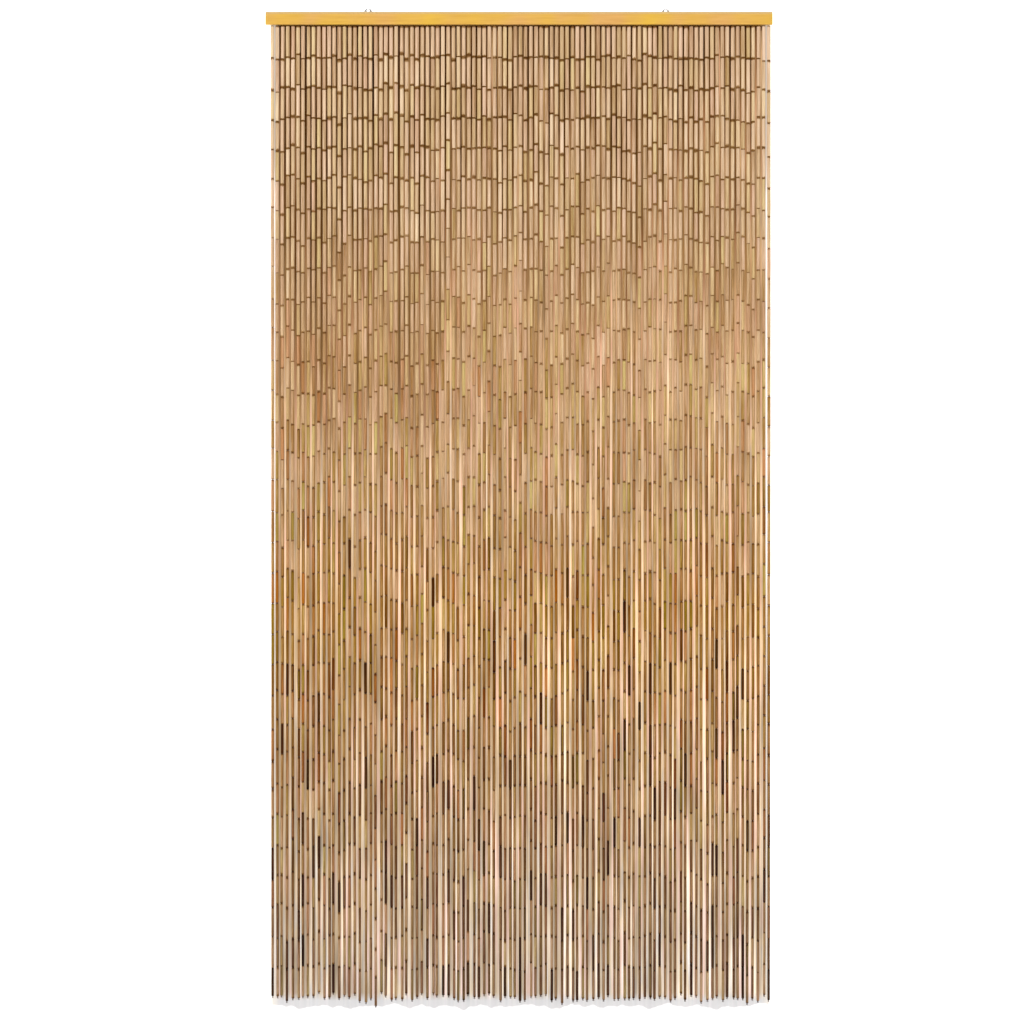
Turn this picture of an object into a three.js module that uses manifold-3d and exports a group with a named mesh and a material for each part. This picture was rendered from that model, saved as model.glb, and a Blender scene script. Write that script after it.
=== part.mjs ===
// Bamboo door curtain: strands of bamboo hanging from a wooden rail.
// Millimetres, +Z up, the front faces -Y.
// The origin is the middle of the rail's back face, which lies on the wall.

import * as THREE from 'three';
import { mergeVertices } from 'three/addons/utils/BufferGeometryUtils.js';
import Module from 'manifold-3d';

const wasm = await Module();
wasm.setup();

// The rail, a batten with eased long edges
const railWidth = 1000;
const railHeight = 25.4;
const railDepth = 12;
const railEdgeRadius = 1.2;
const railTop = railHeight / 2;

// The gap that separate pieces keep where they meet
const clearance = 0.3;

// The hanging plates, let into the rail's back so that they lie flush with it
const plateWidth = 16;
const plateThickness = 1.2;
const plateBelowRailTop = 19;
const wallHoleRadius = 3.1;
const wallHoleBelowPlateTop = 4.4;
const hangers = [
  { side: 'left', x: -298, aboveRail: 8.3 },
  { side: 'right', x: 290, aboveRail: 7.3 },
];

// One countersunk wood screw through each plate
const screwBelowRailTop = 12;
const screwHeadRadius = 2.6;
const screwShankRadius = 1.2;
const screwLength = 8.5;
const screwTipLength = 2.5;
const screwSlot = { length: 3.6, width: 0.7, depth: 0.5 };
const headClearance = 0.45;
const roundSides = 24;

// The strands, which hang in a row under the rail
const strandCount = 97;
const strandRowWidth = 980;
const strandRowShift = 3;
const strandSetBack = 6.5;
const strandTop = -17.8;
const strandEnd = -1935;
const topRadius = 3.7;
const endRadius = 3.05;
const rootRadius = 2;
const strandSides = 4;
const strandSpans = 11;

// How unevenly they hang
const topScatter = 0.35;
const endScatter = 1.75;
const swayReach = 0.8;
const depthReach = 1.1;
const lengthScatter = 11;
const radiusScatter = 0.04;

// The wave along the lower edge, and the few strands that hang below it
const lowerEdge = [
  { x: -500, longer: 1 },
  { x: -350, longer: -4 },
  { x: -250, longer: 2 },
  { x: -80, longer: -2 },
  { x: 100, longer: 2 },
  { x: 300, longer: 1 },
  { x: 500, longer: 3 },
];
const longStrands = [
  { strand: 3, longer: 9 },
  { strand: 18, longer: 12 },
  { strand: 20, longer: 18 },
  { strand: 37, longer: 8 },
  { strand: 56, longer: 11 },
  { strand: 92, longer: 10 },
];

// The strip that holds the strands' roots, close under the rail
const stripOverhang = 4;
const stripDepth = 6;
const stripHeight = 2;
const rootSink = 1;

// The finishes
const finishes = {
  rail: { color: 0xe7b757, roughness: 0.45, metalness: 0 },
  zinc: { color: 0xc9cbcc, roughness: 0.35, metalness: 0.9 },
  bamboo: { color: 0xc39a6b, roughness: 0.5, metalness: 0 },
};

// A closed body from a geometry, without the triangles that have no width
function solid(geometry) {
  const plain = geometry.clone();
  plain.deleteAttribute('normal');
  plain.deleteAttribute('uv');
  const welded = mergeVertices(plain, 1e-5);
  const corners = welded.index.array;
  const kept = [];
  for (let i = 0; i < corners.length; i += 3) {
    const [a, b, c] = corners.slice(i, i + 3);
    if (a !== b && b !== c && c !== a) {
      kept.push(a, b, c);
    }
  }
  return new wasm.Manifold(
    new wasm.Mesh({
      numProp: 3,
      vertProperties: new Float32Array(welded.attributes.position.array),
      triVerts: new Uint32Array(kept),
    }),
  );
}

function geometryOf(body) {
  const cut = body.getMesh();
  const geometry = new THREE.BufferGeometry();
  geometry.setAttribute('position', new THREE.BufferAttribute(cut.vertProperties, 3));
  geometry.setIndex(new THREE.BufferAttribute(cut.triVerts, 1));
  geometry.computeVertexNormals();
  return geometry;
}

// A box between two corners
function block(low, high) {
  const size = high.map((value, i) => value - low[i]);
  const middle = high.map((value, i) => (value + low[i]) / 2);
  return solid(new THREE.BoxGeometry(...size).translate(...middle));
}

// A round bar along Y, given by its radius at the back end and at the front end
function roundBar(x, z, back, front) {
  const length = back.y - front.y;
  const bar = new THREE.CylinderGeometry(back.radius, front.radius, length, roundSides);
  return solid(bar.translate(x, (back.y + front.y) / 2, z));
}

// The batten's section, drawn with depth across and height up
function railSection() {
  const r = railEdgeRadius;
  const section = new THREE.Shape();
  section.moveTo(-railDepth + r, -railTop);
  section.lineTo(-r, -railTop);
  section.absarc(-r, -railTop + r, r, -Math.PI / 2, 0, false);
  section.lineTo(0, railTop - r);
  section.absarc(-r, railTop - r, r, 0, Math.PI / 2, false);
  section.lineTo(-railDepth + r, railTop);
  section.absarc(-railDepth + r, railTop - r, r, Math.PI / 2, Math.PI, false);
  section.lineTo(-railDepth, -railTop + r);
  section.absarc(-railDepth + r, -railTop + r, r, Math.PI, 1.5 * Math.PI, false);
  return section;
}

function plateTop(hanger) {
  return railTop + hanger.aboveRail;
}

// The room that a plate and its screw take in the rail
function hangerRoom(hanger) {
  const side = plateWidth / 2 + clearance;
  const recessY = -plateThickness - clearance;
  const recess = block(
    [hanger.x - side, recessY, railTop - plateBelowRailTop - clearance],
    [hanger.x + side, railDepth, railTop + railHeight],
  );
  const pilotRadius = screwShankRadius + clearance;
  const pilot = roundBar(
    hanger.x,
    railTop - screwBelowRailTop,
    { y: 0, radius: pilotRadius },
    { y: -screwLength - clearance, radius: pilotRadius },
  );
  return recess.add(pilot);
}

function rail() {
  const bar = new THREE.ExtrudeGeometry(railSection(), {
    depth: railWidth,
    bevelEnabled: false,
    curveSegments: 4,
  });
  const alongX = new THREE.Matrix4().makeBasis(
    new THREE.Vector3(0, 1, 0),
    new THREE.Vector3(0, 0, 1),
    new THREE.Vector3(1, 0, 0),
  );
  bar.applyMatrix4(alongX).translate(-railWidth / 2, 0, 0);
  let body = solid(bar);
  for (const hanger of hangers) {
    body = body.subtract(hangerRoom(hanger));
  }
  return geometryOf(body);
}

// A strap with a round top, a plain hole for the wall's screw and a countersunk one below
function plate(hanger) {
  const half = plateWidth / 2;
  const top = plateTop(hanger);
  const bottom = railTop - plateBelowRailTop;
  const outline = new THREE.Shape();
  outline.moveTo(hanger.x - half, bottom);
  outline.lineTo(hanger.x + half, bottom);
  outline.lineTo(hanger.x + half, top - half);
  outline.absarc(hanger.x, top - half, half, 0, Math.PI, false);
  const strap = new THREE.ExtrudeGeometry(outline, {
    depth: plateThickness,
    bevelEnabled: false,
    curveSegments: roundSides,
  });
  strap.rotateX(Math.PI / 2);
  const wallHole = roundBar(
    hanger.x,
    top - wallHoleBelowPlateTop,
    { y: plateThickness, radius: wallHoleRadius },
    { y: -2 * plateThickness, radius: wallHoleRadius },
  );
  const slope = (screwHeadRadius - screwShankRadius) / plateThickness;
  const screwHole = roundBar(
    hanger.x,
    railTop - screwBelowRailTop,
    { y: clearance, radius: screwHeadRadius + headClearance + slope * clearance },
    { y: -plateThickness - clearance, radius: screwShankRadius + headClearance - slope * clearance },
  );
  return geometryOf(solid(strap).subtract(wallHole).subtract(screwHole));
}

// A wood screw with its head flush with the plate's back and a cross slot
function screw(hanger) {
  const z = railTop - screwBelowRailTop;
  const profile = [
    new THREE.Vector2(0, -screwLength),
    new THREE.Vector2(screwShankRadius, -screwLength + screwTipLength),
    new THREE.Vector2(screwShankRadius, -plateThickness),
    new THREE.Vector2(screwHeadRadius, 0),
    new THREE.Vector2(0, 0),
  ];
  let body = solid(new THREE.LatheGeometry(profile, roundSides).translate(hanger.x, 0, z));
  const half = screwSlot.length / 2;
  const thin = screwSlot.width / 2;
  for (const [across, up] of [[half, thin], [thin, half]]) {
    body = body.subtract(
      block(
        [hanger.x - across, -screwSlot.depth, z - up],
        [hanger.x + across, screwSlot.depth, z + up],
      ),
    );
  }
  return geometryOf(body);
}

// A fixed value from 0 to 1 for each strand and purpose
function chance(strand, purpose) {
  const wave = Math.sin((strand + 1) * 12.9898 + purpose * 78.233) * 43758.5453;
  return wave - Math.floor(wave);
}

// The same, from -1 to 1
function spread(strand, purpose) {
  return 2 * chance(strand, purpose) - 1;
}

function strandX(strand) {
  return strandRowShift + strandRowWidth * (strand / (strandCount - 1) - 0.5);
}

// How much longer than the others a strand is, from the lower edge's wave and its own cut
function extraLength(strand) {
  const x = strandX(strand);
  const right = lowerEdge.findIndex((point) => point.x >= x);
  const [a, b] = [lowerEdge[right - 1], lowerEdge[right]];
  const wave = THREE.MathUtils.mapLinear(x, a.x, b.x, a.longer, b.longer);
  const long = longStrands.find((row) => row.strand === strand);
  const own = (lengthScatter * (spread(strand, 1) + spread(strand, 2))) / 2;
  return wave + (long ? long.longer : own);
}

// The middle of a strand at a share of its length, from 0 at the top to 1 at the end
function strandPoint(strand, share) {
  const drift = topScatter * spread(strand, 3) + endScatter * spread(strand, 4) * share;
  const bows = 1 + 2 * chance(strand, 5);
  const sway = swayReach * spread(strand, 6) * Math.sin(Math.PI * bows * share);
  const depth = depthReach * spread(strand, 7) * Math.sin(Math.PI * (0.5 + chance(strand, 8)) * share);
  const end = strandEnd - extraLength(strand);
  return new THREE.Vector3(
    strandX(strand) + drift + sway,
    -strandSetBack + depth,
    strandTop + (end - strandTop) * share,
  );
}

function strandRadius(strand, share) {
  const own = 1 + radiusScatter * spread(strand, 9);
  return own * THREE.MathUtils.lerp(topRadius, endRadius, share);
}

// A four-sided strand from its root in the strip to its lower end
function strand(index) {
  const geometry = new THREE.CylinderGeometry(1, 1, strandSpans, strandSides, strandSpans);
  const position = geometry.attributes.position;
  const rootZ = -railTop - clearance - rootSink;
  for (let i = 0; i < position.count; i += 1) {
    const ring = Math.round(strandSpans / 2 - position.getY(i));
    const share = Math.max(0, (ring - 1) / (strandSpans - 1));
    const middle = strandPoint(index, share);
    const radius = ring === 0 ? rootRadius : strandRadius(index, share);
    position.setXYZ(
      i,
      middle.x + radius * position.getX(i),
      middle.y - radius * position.getZ(i),
      ring === 0 ? rootZ : middle.z,
    );
  }
  return solid(geometry);
}

function strands() {
  const reach = strandRowWidth / 2 + stripOverhang;
  const top = -railTop - clearance;
  const strip = block(
    [strandRowShift - reach, -strandSetBack - stripDepth / 2, top - stripHeight],
    [strandRowShift + reach, -strandSetBack + stripDepth / 2, top],
  );
  const row = Array.from({ length: strandCount }, (_, index) => strand(index));
  return geometryOf(wasm.Manifold.union([strip, ...row]));
}

function piece(name, geometry, finish) {
  const mesh = new THREE.Mesh(geometry, new THREE.MeshStandardMaterial(finishes[finish]));
  mesh.name = name;
  return mesh;
}

const curtain = new THREE.Group();
curtain.add(piece('rail', rail(), 'rail'));
for (const hanger of hangers) {
  curtain.add(piece(`plate_${hanger.side}`, plate(hanger), 'zinc'));
  curtain.add(piece(`screw_${hanger.side}`, screw(hanger), 'zinc'));
}
curtain.add(piece('strands', strands(), 'bamboo'));

export default curtain;
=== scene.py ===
# %% [markdown]
# # A door curtain of bamboo tubes
#
# The object is a curtain for an open doorway. A golden varnished batten carries 97 strands, and
# each strand is a chain of short bamboo tubes joined by wire loops. People walk through it, and
# the strands part and fall back.
#
# The imported model gives the true sizes: the rail, its two hanging plates and their screws, and the
# strands as plain four-sided bars. This lesson keeps the rail, plates and screws and gives them
# better finishes. It builds the strands again as what they are, tube by tube and loop by loop.

# %% [markdown]
# ## Opening the frame
#
# Blender works in metres, and the sizes of a curtain are easier to read in millimetres, so the
# script keeps one factor for the step between them.

# %% Open the imported frame
import math

import bpy
import numpy as np
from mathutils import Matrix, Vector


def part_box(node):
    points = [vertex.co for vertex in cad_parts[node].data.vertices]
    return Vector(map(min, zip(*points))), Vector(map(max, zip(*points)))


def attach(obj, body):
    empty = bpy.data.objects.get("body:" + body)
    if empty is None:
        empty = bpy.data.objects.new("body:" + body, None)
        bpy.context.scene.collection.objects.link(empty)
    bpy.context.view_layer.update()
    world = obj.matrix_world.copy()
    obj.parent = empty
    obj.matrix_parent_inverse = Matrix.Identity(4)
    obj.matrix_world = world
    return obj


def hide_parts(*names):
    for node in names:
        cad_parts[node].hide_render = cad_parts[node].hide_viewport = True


MM = 0.001

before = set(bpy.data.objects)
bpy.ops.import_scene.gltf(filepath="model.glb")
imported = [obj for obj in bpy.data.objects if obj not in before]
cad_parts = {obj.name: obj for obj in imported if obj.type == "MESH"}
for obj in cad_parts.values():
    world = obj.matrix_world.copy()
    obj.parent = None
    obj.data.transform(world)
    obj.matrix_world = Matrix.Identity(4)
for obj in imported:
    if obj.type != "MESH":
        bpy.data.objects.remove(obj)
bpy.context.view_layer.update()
print("packed nodes:", ", ".join(sorted(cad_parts)))

# %% [markdown]
# ## Where each strand hangs
#
# Bamboo strands never hang as straight as ruled lines. Each one leaves its staple a little to one
# side, leans a little, and bows a little forwards or back. The part's source has fixed formulas
# for that, and the same formulas are repeated here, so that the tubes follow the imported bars
# within a hair. A sine wave with a very large factor gives each strand its own unruly number, and
# it gives the same number every time.

# %% Numbers of the strands
# Distances are in mm from the middle of the rail's back: x to the right, z up, -y to the viewer
STRANDS = 97
ROW_WIDTH = 980
ROW_SHIFT = 3
SET_BACK = 6.5
STRAND_TOP = -17.8
STRAND_END = -1935
STRAND_DROP = STRAND_TOP - STRAND_END
TOP_RADIUS = 3.7
END_RADIUS = 3.05

# The lower edge waves a little, and a few strands hang out of it
EDGE_X = [-500, -350, -250, -80, 100, 300, 500]
EDGE_LONGER = [1, -4, 2, -2, 2, 1, 3]
LONG_STRANDS = {3: 9, 18: 12, 20: 18, 37: 8, 56: 11, 92: 10}

# How far the strands stray, in mm, and how much their radius strays, as a share
OWN_CUT = 11
START_DRIFT = 0.35
LEAN = 1.75
SWAY = 0.8
DEPTH_BOW = 1.1
RADIUS_SCATTER = 0.04

# Uneven factors for the strand's number, for the purpose and for the wave
STRAND_FACTOR = 12.9898
PURPOSE_FACTOR = 78.233
WAVE_FACTOR = 43758.5453


def chance(strand, purpose):
    """A fixed share from 0 to 1 for each strand and purpose."""
    wave = np.sin((strand + 1) * STRAND_FACTOR + purpose * PURPOSE_FACTOR) * WAVE_FACTOR
    return wave - np.floor(wave)


def spread(strand, purpose):
    """The same, from -1 to 1."""
    return 2 * chance(strand, purpose) - 1


def strand_x(strand):
    return ROW_SHIFT + ROW_WIDTH * (strand / (STRANDS - 1) - 0.5)


def strand_length(strand):
    """From the first tube's upper end to the strand's lower end."""
    wave = np.interp(strand_x(strand), EDGE_X, EDGE_LONGER)
    own_cut = OWN_CUT * (spread(strand, 1) + spread(strand, 2)) / 2
    return STRAND_DROP + wave + LONG_STRANDS.get(strand, own_cut)


def strand_point(strand, down):
    """The strand's middle, as rows of x, y and z, at distances down from its first tube's top."""
    share = np.asarray(down, float) / strand_length(strand)
    drift = START_DRIFT * spread(strand, 3) + LEAN * spread(strand, 4) * share
    bows = 1 + 2 * chance(strand, 5)
    sway = SWAY * spread(strand, 6) * np.sin(np.pi * bows * share)
    depth = DEPTH_BOW * spread(strand, 7) * np.sin(np.pi * (0.5 + chance(strand, 8)) * share)
    x = strand_x(strand) + drift + sway
    y = -SET_BACK + depth
    z = STRAND_TOP - np.asarray(down, float)
    return np.stack([x, y, z], axis=-1)


def strand_radius(strand, down):
    share = np.asarray(down, float) / strand_length(strand)
    mean = TOP_RADIUS + (END_RADIUS - TOP_RADIUS) * share
    return (1 + RADIUS_SCATTER * spread(strand, 9)) * mean


lengths = [strand_length(strand) for strand in range(STRANDS)]
print("strand lengths in mm:", round(min(lengths)), "to", round(max(lengths)))

# %% [markdown]
# ## Cutting the tubes
#
# Someone sat with a saw and a bundle of thin canes and cut three thousand tubes of about 60 mm.
# No two cuts are quite the same, so the first row of joints is almost level, and a few rows down
# the joints have wandered. Here each strand's 32 lengths are drawn by chance and then scaled, so
# that they add up to the strand. The joints come out level at the top, scattered in the middle
# and level again at the bottom, as they do when a maker sorts the strands by length.
#
# The random numbers come from one generator with a fixed seed. Each run of the script draws the
# same numbers in the same order.

# %% Draw the tube lengths
TUBES = 32
TUBE_GAP = 0.5
LENGTH_SCATTER = 0.053
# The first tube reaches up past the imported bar, and a wire curl takes the strand's last part
TOP_REACH = 2.4
CURL_DROP = 4.6

draw = np.random.default_rng(97)


def steady_normal(shape, limit=2.2):
    """Bell-shaped random numbers without the rare far ones."""
    return np.clip(draw.normal(size=shape), -limit, limit)


def joint_places(strand):
    """Distances down the strand of the 31 joints and of the two ends."""
    pieces = 1 + LENGTH_SCATTER * steady_normal(TUBES)
    downs = np.concatenate([[0], np.cumsum(pieces)]) / pieces.sum()
    return downs * (strand_length(strand) - CURL_DROP)


joints = np.array([joint_places(strand) for strand in range(STRANDS)])
tube_lengths = np.diff(joints, axis=1) - TUBE_GAP
print("tubes:", tube_lengths.size, "of", round(tube_lengths.min(), 1), "to",
      round(tube_lengths.max(), 1), "mm")

# %% [markdown]
# ## One tube, as a profile
#
# A tube is a turned shape, so one profile is enough. It runs from the floor of the upper bore, out
# over the cut end, down the skin, and back in at the lower end. A modifier could array one tube,
# but all copies would then be equal. Plain arrays of points let each tube have its own length,
# thickness, taper and bow, and they are quick: the whole curtain takes a few seconds.
#
# The bore is only as deep as the eye can follow, because light hardly gets further. Tubes, wires
# and coils all have walls of four-sided faces between rings of points, so one function that lists
# such faces serves them all.

# %% The tube's profile
TUBE_SIDES = 10
BORE = 0.46
BORE_DEPTH = 3.0
RIM = 0.88
RIM_DROP = 0.4

# Each ring of the profile: its share of the tube's length, a distance in mm added to that, its
# share of the radius, and its place up the tube's strip of the map
PROFILE = [
    (0, BORE_DEPTH, BORE, 0.980),
    (0, 0, BORE, 0.945),
    (0, 0, RIM, 0.915),
    (0, RIM_DROP, 1.0, 0.900),
    (0.5, 0, 1.0, 0.500),
    (1, -RIM_DROP, 1.0, 0.100),
    (1, 0, RIM, 0.085),
    (1, 0, BORE, 0.055),
    (1, -BORE_DEPTH, BORE, 0.020),
]
RINGS = len(PROFILE)
MIDDLE_RING = 4
# The corners of a wall's face, as steps along the wall and round it, in the order that lets the
# face look outwards
WALL_CORNERS = [(0, 0), (0, 1), (1, 1), (1, 0)]


def wall_faces(steps, rings, sides):
    """The faces between rings of points, and the places of their corners on a square map."""
    step, side = np.meshgrid(np.arange(steps), np.arange(sides), indexing="ij")
    faces = [(step + on) % rings * sides + (side + over) % sides for on, over in WALL_CORNERS]
    places = [np.stack([step + on, side + over], axis=-1) for on, over in WALL_CORNERS]
    places = np.stack(places, axis=2).reshape(-1, 4, 2) / np.array([steps, sides])
    return np.stack(faces, axis=-1).reshape(-1, 4), places


def fan_faces(centre, first, second):
    """Triangles from a centre point to the sides of a ring."""
    return np.stack([np.full(len(first), centre), first, second], axis=1)


def tube_faces():
    """The faces of one tube: bands between the rings, and a fan that closes each bore."""
    bands, _ = wall_faces(RINGS - 1, RINGS, TUBE_SIDES)
    around = np.arange(TUBE_SIDES)
    after = (around + 1) % TUBE_SIDES
    top_centre = RINGS * TUBE_SIDES
    last_ring = (RINGS - 1) * TUBE_SIDES
    top_fan = fan_faces(top_centre, after, around)
    end_fan = fan_faces(top_centre + 1, last_ring + around, last_ring + after)
    return bands, np.concatenate([top_fan, end_fan])


def corner_places(corners):
    """Places on the map for a ring of faces, from the u and v of each corner."""
    return np.stack([np.stack([u, np.full(TUBE_SIDES, v)], axis=1) for u, v in corners], axis=1)


def tube_map():
    """Where each face corner of one tube lies on a square map, as if the skin were unrolled."""
    left = np.arange(TUBE_SIDES) / TUBE_SIDES
    right = left + 1 / TUBE_SIDES
    heights = [ring[3] for ring in PROFILE]
    bands = [corner_places([(left, high), (right, high), (right, low), (left, low)])
             for high, low in zip(heights, heights[1:])]
    half = (left + right) / 2
    top_fan = corner_places([(half, 1.0), (right, heights[0]), (left, heights[0])])
    end_fan = corner_places([(half, 0.0), (left, heights[-1]), (right, heights[-1])])
    return np.concatenate(bands), np.concatenate([top_fan, end_fan])


BAND_FACES, FAN_FACES = tube_faces()
BAND_MAP, FAN_MAP = tube_map()
print("triangles in a tube:", 2 * len(BAND_FACES) + len(FAN_FACES))

# %% [markdown]
# ## Growing the tubes along the strands
#
# Bamboo is a grass, and each tube keeps something of the plant. It is a little thicker at one end,
# it bows a hair to one side, and where the cane had a joint there is a faint swelling. Those small
# faults are what tells a cane from a drinking straw. The lower tubes are also cut from slimmer
# canes than the upper ones, so the gaps open towards the floor.
#
# Every ring is a circle round the tube's axis. The axis runs from one joint of the strand to the
# next, so the tubes turn very slightly against each other, like the links of a taut chain.

# %% Points of the tubes
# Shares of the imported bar's radius, but for the bow, which is in mm
MEAN_THICKNESS = 0.985
THICKNESS_SCATTER = 0.022
SLIMMING = 0.13
TAPER = 0.03
SWELLING = 0.035
BOW = 0.22
# Where on the tube's length the swelling may lie
SWELLING_PLACE = (0.28, 0.72)


def unit(rows):
    return rows / np.linalg.norm(rows, axis=-1, keepdims=True)


def cross_axes(axis):
    """Two directions square to each axis, the first one close to X."""
    across = np.zeros_like(axis)
    across[..., 0] = 1
    first = unit(across - axis * np.sum(across * axis, axis=-1, keepdims=True))
    return first, np.cross(axis, first)


def all_round(first, second, sides):
    """Directions all round some axes, as an array of axis, side and coordinate."""
    turn = 2 * np.pi * np.arange(sides) / sides
    return (np.cos(turn)[None, :, None] * first[:, None, :]
            + np.sin(turn)[None, :, None] * second[:, None, :])


def tube_points(strand, top_down, end_down, traits):
    """Points of some tubes of a strand, as an array of tube, point and coordinate."""
    top = strand_point(strand, top_down)
    end = strand_point(strand, end_down)
    length = np.linalg.norm(end - top, axis=-1)
    axis = unit(end - top)
    first, second = cross_axes(axis)
    rounds = all_round(first, second, TUBE_SIDES)
    down = (top_down + end_down) / 2
    radius = strand_radius(strand, down) * traits["thickness"] * (1 - SLIMMING * down / STRAND_DROP)
    lean = (np.cos(traits["bow_side"])[:, None] * first
            + np.sin(traits["bow_side"])[:, None] * second) * traits["bow"][:, None]
    rings = []
    for ring, (share, offset, width, _) in enumerate(PROFILE):
        middle = ring == MIDDLE_RING
        place = traits["node_share"] if middle else share
        along = place * length + offset
        girth = radius * width * (1 + traits["taper"] * (0.5 - place))
        centre = top + axis * along[:, None]
        if middle:
            girth = girth * (1 + traits["swelling"])
            centre = centre + lean
        rings.append(centre[:, None, :] + rounds * girth[:, None, None])
    caps = [top + axis * BORE_DEPTH, end - axis * BORE_DEPTH]
    return np.concatenate(rings + [cap[:, None, :] for cap in caps], axis=1)


def draw_traits(count):
    """What makes each tube its own."""
    return {
        "thickness": MEAN_THICKNESS + THICKNESS_SCATTER * steady_normal(count),
        "taper": TAPER * steady_normal(count),
        "bow": draw.uniform(0, BOW, count),
        "bow_side": draw.uniform(0, 2 * np.pi, count),
        "node_share": draw.uniform(*SWELLING_PLACE, count),
        "swelling": SWELLING * draw.uniform(0, 1, count) ** 3,
    }


print("points in a tube:", RINGS * TUBE_SIDES + 2)

# %% [markdown]
# ## The colour each tube brings along
#
# The canes were cut from many plants, and their tone differs from tube to tube. Near the rail they
# are pale and straw-coloured. Further down come golden and reddish ones, and near the floor most are
# brown or olive, with a few that are almost black. This darkening towards the floor is partly the
# canes' own colour and partly painted shade, for the lower tubes get less of the lamps' light. The
# saw cuts are stained, and the stain has crept furthest from the cut near the rail and near the
# floor.
#
# A material can't know which tube it is on, unless the mesh tells it. So each tube stores a few
# numbers in its points: how pale it is, how red or green, a shift for the grain, how far the point
# is from both saw cuts, and how far the stains reach. The shader reads them later with attribute
# nodes.

# %% Tone, tint and stain of each tube
# One value for each height, from 0 at the rail to 1 at the floor; the stain is in mm
HEIGHTS = [0, 0.12, 0.2, 0.27, 0.35, 0.45, 0.6, 0.75, 1]
# The tone falls towards the floor: partly the canes' own colour, partly painted shade on the lower
# tubes
TONE_AND_SHADE_AT = [0.74, 0.735, 0.71, 0.66, 0.635, 0.57, 0.47, 0.41, 0.385]
TONE_SCATTER_AT = [0.065, 0.065, 0.055, 0.05, 0.06, 0.07, 0.08, 0.085, 0.085]
TINT_SCATTER_AT = [0.10, 0.10, 0.11, 0.13, 0.16, 0.20, 0.23, 0.23, 0.22]
STAIN_AT = [3.2, 3.0, 2.4, 2.1, 2.1, 2.3, 2.8, 3.2, 3.2]
# A tube's own stain reaches between these two shares of that
STAIN_SHARES = (0.25, 1.5)
# The share of tubes that are nearly black, and what they keep of their tone
DARK_SHARE_AT = [0, 0, 0, 0, 0, 0, 0.02, 0.06, 0.11]
DARK_TONE = 0.26
TONE_LIMIT = 1.7
CLOUD = 0.03
# The outermost strands, by number, are painted paler near the rail, as painted light from the side
SIDE_LIT_STRANDS = {0: 0.10, 1: 0.05, 95: 0.05, 96: 0.10}
SIDE_LIT_DOWN_TO = 0.3


def cloud(strand, share):
    """Slow, uneven waves of tone, because canes of one harvest end up near each other."""
    # The numbers only keep the two waves from falling into step
    across = strand / 5.1 + 3 * np.sin(6.2 * share)
    return np.sin(across) * np.sin(20 * share + strand / 7.3)


def draw_colours(strand, share):
    """Tone, tint, grain shift and stain of a strand's tubes, at shares of its height."""
    count = len(share)
    # The tone at each height carries painted shade towards the floor as well as the canes' colour
    tone = np.interp(share, HEIGHTS, TONE_AND_SHADE_AT) + CLOUD * cloud(strand, share)
    tone = tone + np.interp(share, HEIGHTS, TONE_SCATTER_AT) * steady_normal(count, TONE_LIMIT)
    # Painted light from the side: the outermost strands are paler near the rail
    tone = tone + SIDE_LIT_STRANDS.get(strand, 0) * np.clip(1 - share / SIDE_LIT_DOWN_TO, 0, 1)
    dark = draw.uniform(size=count) < np.interp(share, HEIGHTS, DARK_SHARE_AT)
    tone = np.where(dark, tone * DARK_TONE, tone)
    tint = 0.5 + np.interp(share, HEIGHTS, TINT_SCATTER_AT) * steady_normal(count)
    stain = np.interp(share, HEIGHTS, STAIN_AT) * draw.uniform(*STAIN_SHARES, count)
    return {
        "tone": np.clip(tone, 0, 1),
        "tint": np.clip(tint, 0, 1),
        "grain": draw.uniform(0, 1, count),
        "stain": stain,
    }


print("tone from the rail to the floor:", TONE_AND_SHADE_AT)

# %% [markdown]
# ## Joining tubes into pieces
#
# Three thousand objects would be slow to handle, and one object with three hundred thousand faces
# would share one small map when the model is exported. Bundles of five strands are a middle way.
# The tubes of a bundle lie side by side on its map like the strips of a veneer sheet.

# %% Build the bundles of tubes
BUNDLE = 5
MAP_COLUMNS = 20
MAP_ROWS = 8
TILE_MARGIN = 0.05
# In degrees: edges that are sharper stay hard
SHARP_ANGLE = 50


def tile_of(number):
    """The lower left corner and the size of a tube's tile on the map."""
    column, row = number % MAP_COLUMNS, number // MAP_COLUMNS
    size = np.array([1 / MAP_COLUMNS, 1 / MAP_ROWS])
    corner = np.stack([column, row], axis=-1) * size
    return corner + size * TILE_MARGIN, size * (1 - 2 * TILE_MARGIN)


def add_mesh(name, points_mm, quads, triangles, quad_map, triangle_map):
    """A smooth object from arrays of points, faces and map places."""
    mesh = bpy.data.meshes.new(name)
    mesh.from_pydata((points_mm * MM).tolist(), [], quads.tolist() + triangles.tolist())
    places = np.concatenate([quad_map.reshape(-1, 2), triangle_map.reshape(-1, 2)])
    layer = mesh.uv_layers.new(name="OFBake")
    layer.uv.foreach_set("vector", places.astype(np.float32).ravel())
    mesh.shade_smooth()
    mesh.set_sharp_from_angle(angle=math.radians(SHARP_ANGLE))
    piece = bpy.data.objects.new(name, mesh)
    bpy.context.scene.collection.objects.link(piece)
    return piece


def store(mesh, name, rows):
    """Keeps three numbers for each point, for the shader to read."""
    attribute = mesh.attributes.new(name, "FLOAT_VECTOR", "POINT")
    attribute.data.foreach_set("vector", rows.astype(np.float32).ravel())


def tube_spans(strand):
    """Where each tube of a strand starts and ends, as distances down the strand."""
    numbers = np.arange(TUBES)
    top_down = joints[strand, :-1] + np.where(numbers == 0, -TOP_REACH, TUBE_GAP / 2)
    end_down = joints[strand, 1:] - np.where(numbers == TUBES - 1, 0, TUBE_GAP / 2)
    return top_down, end_down


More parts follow.
